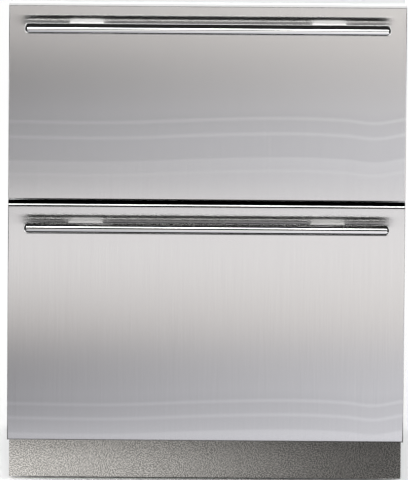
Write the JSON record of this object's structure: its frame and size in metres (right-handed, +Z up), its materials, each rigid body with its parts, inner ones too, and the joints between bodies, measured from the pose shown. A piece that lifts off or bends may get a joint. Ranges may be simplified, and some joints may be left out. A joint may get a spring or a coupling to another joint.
{
  "type": "double drawer freezer",
  "caption": "Under-counter freezer with a shallow and a deep pull-out drawer behind brushed steel fronts with long round bar handles, over a set-back kickplate.",
  "frame": {"origin": "middle of the whole object's width and depth, on the floor under the feet", "axes": "+X to the right seen from the front, +Y towards the back, +Z up; the fronts face -Y"},
  "size_m": [0.686, 0.6464, 0.847],
  "materials": {
    "stainless": "fine vertical brushed grain",
    "polished_steel": "polished",
    "speckled_steel": "fine pebbled",
    "case_paint": "satin white",
    "galvanised": "zinc coated sheet",
    "white_plastic": "moulded",
    "foam": "rigid foam",
    "gasket": "soft",
    "black_paint": "semi-gloss",
    "black_rubber": "matte",
    "black_plastic": "matte",
    "grey_plastic": "matte",
    "coil_aluminium": "thin fins",
    "copper": "drawn tube",
    "plain_steel": "zinc plated"
  },
  "bodies": {
    "cabinet": {"left_side_panel": "case_paint", "right_side_panel": "case_paint", "top_panel": "case_paint", "back_panel": "galvanised", "compartment_cover": "galvanised", "base_pan": "galvanised", "compartment_bulkhead": "galvanised", "inner_liner": "white_plastic", "insulation_foam": "foam", "front_frame": "white_plastic", "counter_brackets": "galvanised", "kickplate": "speckled_steel", "kickplate_clips": "plain_steel", "leg_sockets": "plain_steel", "fixed_rails": "galvanised", "evaporator_cover": "white_plastic", "evaporator_coil": "coil_aluminium", "defrost_heater": "black_paint", "drain_trough": "white_plastic", "evaporator_fan_motor": "grey_plastic", "compressor": "black_paint", "compressor_grommets": "black_rubber", "condenser_coil": "coil_aluminium", "fan_shroud": "grey_plastic", "condenser_fan_motor": "grey_plastic", "filter_drier": "copper", "refrigerant_lines": "copper", "evaporation_tray": "black_plastic", "control_box": "grey_plastic", "mains_inlet": "black_plastic", "control_panel": "white_plastic"},
    "upper_drawer": {"upper_front_skin": "stainless", "upper_door_core": "foam", "upper_door_shell": "white_plastic", "upper_gasket": "gasket", "upper_handle_bar": "polished_steel", "upper_handle_posts": "polished_steel", "upper_handle_screws": "plain_steel", "upper_bin": "white_plastic", "upper_drawer_rails": "galvanised"},
    "upper_slide_middle": {"upper_middle_rails": "galvanised"},
    "lower_drawer": {"lower_front_skin": "stainless", "lower_door_core": "foam", "lower_door_shell": "white_plastic", "lower_gasket": "gasket", "lower_handle_bar": "polished_steel", "lower_handle_posts": "polished_steel", "lower_handle_screws": "plain_steel", "lower_bin": "white_plastic", "lower_drawer_rails": "galvanised"},
    "lower_slide_middle": {"lower_middle_rails": "galvanised"},
    "evaporator_fan": {"evaporator_fan_blade": "white_plastic"},
    "condenser_fan": {"condenser_fan_blade": "black_plastic"},
    "power_button": {"power_button": "grey_plastic"},
    "colder_button": {"colder_button": "grey_plastic"},
    "warmer_button": {"warmer_button": "grey_plastic"},
    "front_left_leg": {"front_left_leg": "plain_steel"},
    "front_right_leg": {"front_right_leg": "plain_steel"},
    "rear_left_leg": {"rear_left_leg": "plain_steel"},
    "rear_right_leg": {"rear_right_leg": "plain_steel"}
  },
  "joints": [
    {"name": "upper_drawer_slide", "type": "slide", "parent": "cabinet", "child": "upper_drawer", "axis": [0, -1, 0], "range_m": [0, 0.4]},
    {"name": "upper_middle_slide", "type": "slide", "parent": "cabinet", "child": "upper_slide_middle", "axis": [0, -1, 0], "range_m": [0, 0.2]},
    {"name": "lower_drawer_slide", "type": "slide", "parent": "cabinet", "child": "lower_drawer", "axis": [0, -1, 0], "range_m": [0, 0.4]},
    {"name": "lower_middle_slide", "type": "slide", "parent": "cabinet", "child": "lower_slide_middle", "axis": [0, -1, 0], "range_m": [0, 0.2]},
    {"name": "evaporator_fan_spin", "type": "hinge", "parent": "cabinet", "child": "evaporator_fan", "pos_m": [0, 0.22575, 0.5325], "axis": [0, 1, 0], "continuous": true},
    {"name": "condenser_fan_spin", "type": "hinge", "parent": "cabinet", "child": "condenser_fan", "pos_m": [0.062, 0.22325, 0.113], "axis": [1, 0, 0], "continuous": true},
    {"name": "power_button_press", "type": "slide", "parent": "cabinet", "child": "power_button", "axis": [0, 1, 0], "range_m": [0, 0.0012], "stiffness_N_per_m": 500, "springref_m": -0.001},
    {"name": "colder_button_press", "type": "slide", "parent": "cabinet", "child": "colder_button", "axis": [0, 1, 0], "range_m": [0, 0.0012], "stiffness_N_per_m": 500, "springref_m": -0.001},
    {"name": "warmer_button_press", "type": "slide", "parent": "cabinet", "child": "warmer_button", "axis": [0, 1, 0], "range_m": [0, 0.0012], "stiffness_N_per_m": 500, "springref_m": -0.001},
    {"name": "front_left_leg_screw", "type": "slide", "parent": "cabinet", "child": "front_left_leg", "axis": [0, 0, -1], "range_m": [0, 0.025]},
    {"name": "front_right_leg_screw", "type": "slide", "parent": "cabinet", "child": "front_right_leg", "axis": [0, 0, -1], "range_m": [0, 0.025]},
    {"name": "rear_left_leg_screw", "type": "slide", "parent": "cabinet", "child": "rear_left_leg", "axis": [0, 0, -1], "range_m": [0, 0.025]},
    {"name": "rear_right_leg_screw", "type": "slide", "parent": "cabinet", "child": "rear_right_leg", "axis": [0, 0, -1], "range_m": [0, 0.025]}
  ],
  "couplings": [
    {"joint": "upper_middle_slide", "follows": "upper_drawer_slide", "ratio": 0.5},
    {"joint": "lower_middle_slide", "follows": "lower_drawer_slide", "ratio": 0.5}
  ]
}
